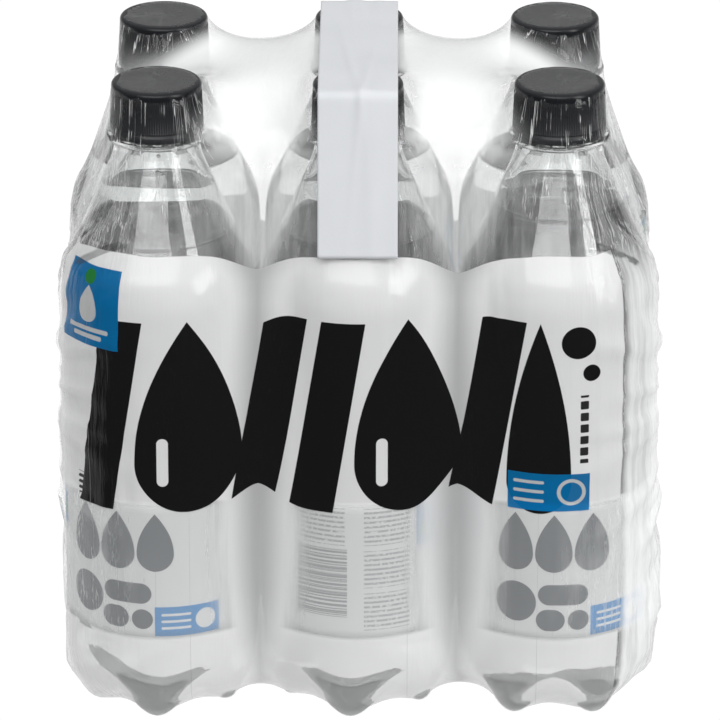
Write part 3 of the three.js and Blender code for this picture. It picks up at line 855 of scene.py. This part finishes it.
# One mark is repeated upwards within a field, at a spacing
repeated_marks = [
    (("bar", 74.3, 0.0, 1.4, 1.45, 0.0, 0.4), ("bar", 74.3, 108.9, 3.0, 12.0, 0.0, 0.1), 4.1),
    (("bar", -94.0, 0.0, 1.9, 0.6, 0.5, 0.5), ("bar", -94.0, 85.0, 4.0, 4.0, 0.0, 0.1), 2.1)]

shrink_film, tree = new_material("printed_shrink_film")
place, gap = stored(tree, "print_place"), stored(tree, "gap", "Fac")
skin_place, cap_way = stored(tree, "skin_place"), stored(tree, "cap_way")
x, y, depth = split(tree, place)
height, to_cap = split(tree, skin_place)["Z"], split(tree, cap_way)["Z"]
crinkle = noise(tree, skin_place, 0.32, 4.0, 0.6, stretch=(1, 0.3, 0.08))
wave = noise(tree, skin_place, 0.03, 1.0)
wave_fine = noise(tree, skin_place, 0.13, 1.0)

# Fine pleats run out from the caps, and upright ones gather at both ends of the pack
fan = noise(tree, cap_way, 6.0, 3.0, 0.6, stretch=(1, 1, 0.012))
fan_part = product(tree, ramp(tree, to_cap, 17.0, 31.0, 1.0, 0.0), ramp(tree, to_cap, 13.2, 14.4),
                   ramp(tree, height, 150.0, 185.0))
end_part = product(tree, ramp(tree, calc(tree, "ABSOLUTE", x), 58.0, 100.0),
                   ramp(tree, height, 205.0, 185.0))

# The milky field has straight sides and a top edge that the shrinking has bent
bent = calc(tree, "MULTIPLY_ADD", calc(tree, "SUBTRACT", wave, 0.5), 5.0, y)
deep = calc(tree, "ABSOLUTE", depth)
milky = product(tree, ramp(tree, x, MILKY_LEFT - 0.6, MILKY_LEFT + 0.6),
                ramp(tree, x, MILKY_RIGHT - 0.4, MILKY_RIGHT + 0.4, 1.0, 0.0),
                ramp(tree, bent, MILKY_TOP - 0.25, MILKY_TOP + 0.25, 1.0, 0.0),
                ramp(tree, deep, 34.0, 36.0))

black = without(tree, printed(tree, place, black_shapes), printed(tree, place, drop_marks))
for mark, field, spacing in repeated_marks:
    marks = printed(tree, in_rows(tree, place, spacing, field[2] - field[4]), [mark])
    black = calc(tree, "MAXIMUM", black, product(tree, marks, printed(tree, place, [field])))
blue = printed(tree, place, [badge, banner])
ring = without(tree, *(printed(tree, place, [shape]) for shape in ring_shapes))
white_marks = calc(tree, "MAXIMUM", ring, printed(tree, place, banner_marks + badge_marks))
# Painted shade: the milky ink darkens where the film spans a dip between bottles
milky_with_painted_shade = tinted(tree, ramp(tree, gap, 0.5, 9.0), MILKY_INK, PAINTED_DIP_SHADE)
colour = tinted(tree, milky, CLEAR_TINT, milky_with_painted_shade)
colour = tinted(tree, black, colour, BLACK_INK)
colour = tinted(tree, blue, colour, SKY_INK)
colour = tinted(tree, printed(tree, place, [leaf]), colour, LEAF_INK)
colour = tinted(tree, white_marks, colour, WHITE_INK)
inked = product(tree, calc(tree, "MAXIMUM", black, blue), ramp(tree, deep, 30.0, 32.0))

# The milky ink covers most where the film stands apart, less where it touches a bottle, and
# least where it lies on a label
TOUCH, ON_LABEL, APART = 0.62, 0.12, 0.72
over_label = product(tree, ramp(tree, height, LABEL_LOW - 0.5, LABEL_LOW + 2.5),
                     ramp(tree, height, LABEL_HIGH - 2.5, LABEL_HIGH + 0.5, 1.0, 0.0))
touching = ramp(tree, over_label, 0.0, 1.0, TOUCH, ON_LABEL)
reach = product(tree, gap, ramp(tree, over_label, 0.0, 1.0, 1.0, 0.6))
near = ramp(tree, calc(tree, "MULTIPLY_ADD", crinkle, 0.9, reach), 0.6, 2.8)
veil = calc(tree, "MULTIPLY_ADD", near, calc(tree, "SUBTRACT", APART, touching), touching)

# The clear film hazes over on the roof, on its slopes and at the right end, and white hairlines along
# the creases are painted highlights on the folds
ROOF_HAZE, LEAST_HAZE, FAN_CREASE_HIGHLIGHTS, END_CREASE_HIGHLIGHTS = 0.62, 0.004, 0.5, 0.4
roof = product(tree, ramp(tree, height, 188.0, 211.0), ramp(tree, gap, 0.6, 10.0), ROOF_HAZE)
slope = calc(tree, "ADD", ramp(tree, crinkle, 0.3, 0.7, 0.04, 0.12),
             ramp(tree, gap, 3.0, 11.0, 0.0, 0.14))
slope = product(tree, ramp(tree, height, 196.0, 188.0), slope)
side = product(tree, ramp(tree, x, MILKY_RIGHT, MILKY_RIGHT + 4), ramp(tree, y, 150.0, 172.0, 1.0, 0.0),
               ramp(tree, crinkle, 0.35, 0.65, 0.42, 0.62))
haze = calc(tree, "ADD", calc(tree, "MAXIMUM", roof, side), calc(tree, "ADD", slope, LEAST_HAZE))


def hair_lines(tree, value, inner, outer):
    """Fine lines where noise passes its middle: 1 within inner of 0.5, and 0 beyond outer."""
    return ramp(tree, calc(tree, "ABSOLUTE", calc(tree, "SUBTRACT", value, 0.5)), inner, outer, 1.0, 0.0)


# Thin white lines along the creases round the caps and at both ends of the pack: painted highlights on
# the folds
fan_highlight_lines = product(tree, hair_lines(tree, fan, 0.002, 0.010), ramp(tree, wave_fine, 0.45, 0.6),
                    fan_part, FAN_CREASE_HIGHLIGHTS)
end_highlight_lines = product(tree, hair_lines(tree, crinkle, 0.004, 0.02), end_part, END_CREASE_HIGHLIGHTS)
cover = calc(tree, "MAXIMUM", calc(tree, "MULTIPLY", milky, veil), haze)
cover = calc(tree, "MAXIMUM", cover, calc(tree, "ADD", fan_highlight_lines, end_highlight_lines))

# Light meets the ink on both faces of the film
left_clear = calc(tree, "POWER", calc(tree, "SUBTRACT", 1.0, cover), 2.0)
cover = calc(tree, "MAXIMUM", calc(tree, "SUBTRACT", 1.0, left_clear), inked)

PLEAT_HEIGHT = 0.0008  # metres
EDGE_GLARE, LEAST_GLARE = 0.8, 0.025
LIT_THROUGH = 0.32, 0.6  # share of light through the ink, and through blue ink
pleats = product(tree, crinkle, ramp(tree, end_part, 0.0, 1.0, 0.35, 1.6))
pleats = calc(tree, "MULTIPLY_ADD", fan, calc(tree, "MULTIPLY", fan_part, 0.55), pleats)
relief = rough_normal(tree, pleats, PLEAT_HEIGHT, 0.6)
front_face = add_node(tree, "ShaderNodeBsdfPrincipled", {
    "Base Color": colour, "Roughness": 0.4, "Specular IOR Level": 0.0, "Normal": relief})
paler = add_node(tree, "ShaderNodeGamma", {"Color": colour, "Gamma": 0.6})
lit_through = add_node(tree, "ShaderNodeBsdfTranslucent", {"Color": paler})
ink = mixed_shader(tree, ramp(tree, blue, 0.0, 1.0, *LIT_THROUGH), front_face, lit_through)
bare_film = add_node(tree, "ShaderNodeBsdfTransparent", {"Color": (0.996, 0.998, 0.998, 1)})
film = mixed_shader(tree, cover, bare_film, ink)
facing = add_node(tree, "ShaderNodeLayerWeight", {"Blend": 0.5, "Normal": relief}).outputs["Facing"]
glare = calc(tree, "MULTIPLY_ADD", calc(tree, "POWER", facing, 4.5), EDGE_GLARE, LEAST_GLARE)
gloss = add_node(tree, "ShaderNodeBsdfGlossy", {"Roughness": 0.09, "Normal": relief})
wrapped = mixed_shader(tree, glare, film, gloss)
add_node(tree, "ShaderNodeOutputMaterial", {"Surface": wrapped})

sleeve = new_piece("shrink_film_sleeve", skin, shrink_film, ["film"])
keep_attribute(sleeve, "print_place", film_place)
keep_attribute(sleeve, "gap", film_gap)
keep_attribute(sleeve, "cap_way", cap_ways(skin))
keep_attribute(sleeve, "skin_place", np.stack([across, skin[:, :, 1], skin[:, :, 2]], 2))


# Water beads
# Fine beads of water hang on the right front bottle under the film, and two in the neck of the
# left one.

BEAD_ROWS, BEAD_COLUMNS = 6, 10
BEADS = 54
BEAD_BEARING, BEAD_HEIGHT = (66, 9), (151, 7)  # the middle and spread of their places
HIGHEST_BEAD = 160
BEAD_THICKNESS = 0.55  # as a share of its width


def bead(place, angle, radius):
    """The points and faces of a flattened ball, turned to face outward at angle."""
    points = [(0, 0, 1)]
    for row in range(1, BEAD_ROWS):
        lift = pi * row / BEAD_ROWS
        points += [(np.sin(lift) * np.cos(a), np.sin(lift) * np.sin(a), np.cos(lift))
                   for a in np.linspace(0, 2 * pi, BEAD_COLUMNS, endpoint=False)]
    points = np.array(points + [(0, 0, -1)]) * radius * np.array((1, BEAD_THICKNESS, 1))
    faces = []
    for column in range(BEAD_COLUMNS):
        beside = (column + 1) % BEAD_COLUMNS
        faces.append((0, 1 + column, 1 + beside))
        for row in range(BEAD_ROWS - 2):
            first = 1 + row * BEAD_COLUMNS
            faces.append((first + column, first + BEAD_COLUMNS + column,
                          first + BEAD_COLUMNS + beside, first + beside))
        last = len(points) - 1
        faces.append((last, last - BEAD_COLUMNS + beside, last - BEAD_COLUMNS + column))
    cos, sin = np.cos(angle), np.sin(angle)
    swung = np.stack([points[:, 0] * cos - points[:, 1] * sin,
                      points[:, 0] * sin + points[:, 1] * cos, points[:, 2]], 1)
    return swung + place, faces


def bead_places():
    """Where beads sit, as (bottle, angle from the front, height above the feet, distance from
    the axis, radius)."""
    chance = np.random.default_rng(3)
    places = [("front_left", 0.04, 190.4, 13.6, 1.0), ("front_left", 0.07, 195.8, 11.2, 0.7)]
    for _ in range(BEADS):
        angle = radians(chance.normal(*BEAD_BEARING))
        height = min(chance.normal(*BEAD_HEIGHT), HIGHEST_BEAD)
        size = chance.uniform(0.2, 0.36) if chance.random() < 0.8 else chance.uniform(0.4, 0.6)
        distance = np.interp(height, shoulder_line[:, 1], shoulder_line[:, 0]) + 0.1
        places.append(("front_right", angle, height, distance, size))
    return places


bead_points, bead_faces = [], []
for spot, angle, height, distance, size in bead_places():
    middle = footprint(spot) + (distance * np.sin(angle), -distance * np.cos(angle), height)
    points, faces = bead(middle, angle, size)
    first = sum(len(part) for part in bead_points)
    bead_points.append(points)
    bead_faces += [tuple(first + corner for corner in face) for face in faces]
mesh_piece("water_beads", np.concatenate(bead_points), bead_faces, still_water)


# The carrying strip
# A strip of white paper tape, stuck to the film in front and behind and pulled tight over the
# middle pair of caps, so that the pack can be lifted by it.

STRIP_WIDTH, STRIP_THICKNESS = 26.0, 0.14
STRIP_END = 167.0
STRIP_COLUMNS, STRIP_STEP = 40, 1.2
STRIP_LIFT = 0.45
CREASES, CREASE_LENGTH = 9, 32


def upper_outline(points):
    """The outline of [y, z] points seen from above, from front to back, without its dips: a
    point goes when the next one makes a turn to the left over it."""
    line = []
    for point in sorted(map(tuple, points)):
        while len(line) > 1:
            (y0, z0), (y1, z1) = line[-2:]
            if (y1 - y0) * (point[1] - z0) - (z1 - z0) * (point[0] - y0) < 0:
                break
            line.pop()
        line.append(point)
    return np.array(line)


def strip_grid():
    """The strip's middle surface: its outline over the film, walked in even steps, by its width.
    It is lifted square to its run, with soft creases made of a few broad waves."""
    under = skin[np.abs(skin[:, :, 0]) < STRIP_WIDTH / 2 + 1][:, 1:]
    line = upper_outline(under)
    walked = np.append(0, np.cumsum(np.hypot(*np.diff(line, axis=0).T)))
    marks = np.arange(0, walked[-1], STRIP_STEP)
    path = np.stack([np.interp(marks, walked, column) for column in line.T], 1)
    path = path[path[:, 1] > STRIP_END]
    run_of_strip = np.gradient(path, axis=0)
    run_of_strip /= np.linalg.norm(run_of_strip, axis=1, keepdims=True)
    out = np.stack([-run_of_strip[:, 1], run_of_strip[:, 0]], 1)[:, None, :]
    across = np.linspace(-STRIP_WIDTH / 2, STRIP_WIDTH / 2, STRIP_COLUMNS)[None, :]
    down = np.arange(len(path))[:, None] * STRIP_STEP
    creases = np.random.default_rng(5)
    lift = STRIP_LIFT + 0 * across * down
    for _ in range(CREASES):
        middle, spot_at = creases.uniform(-11, 11), creases.uniform(0, down.max())
        lean, width = creases.uniform(-0.12, 0.12), creases.uniform(1.2, 4)
        size = creases.uniform(0.15, 0.5)
        distance = across - middle - lean * (down - spot_at)
        fade = np.exp(-((down - spot_at) / CREASE_LENGTH) ** 2)
        lift = lift + size * np.exp(-(distance / width) ** 2) * fade
    points = path[:, None, :] + out * lift[..., None]
    return np.concatenate([(across + 0 * down)[..., None], points], axis=2)


paper_tape, tree = new_material("white_paper_tape")
spot_on = add_node(tree, "ShaderNodeTexCoord").outputs["Object"]
fibres = noise(tree, spot_on, 900.0, 5.0)
blotch = noise(tree, spot_on, 45.0, 2.0)
tape = add_node(tree, "ShaderNodeBsdfPrincipled", {
    "Base Color": tinted(tree, blotch, (0.47, 0.483, 0.505, 1), (0.53, 0.54, 0.555, 1)),
    "Roughness": ramp(tree, fibres, 0.3, 0.7, 0.6, 0.75),
    "Specular IOR Level": 0.25, "Normal": rough_normal(tree, fibres, 0.0001, 0.3)})
add_node(tree, "ShaderNodeOutputMaterial", {"Surface": tape})

strip = new_piece("paper_carrying_strip", strip_grid()[::-1], paper_tape,
                  ["carrying_strip"], wraps=False)
thick = strip.modifiers.new("thickness", "SOLIDIFY")
thick.thickness, thick.offset = STRIP_THICKNESS * MM, 1
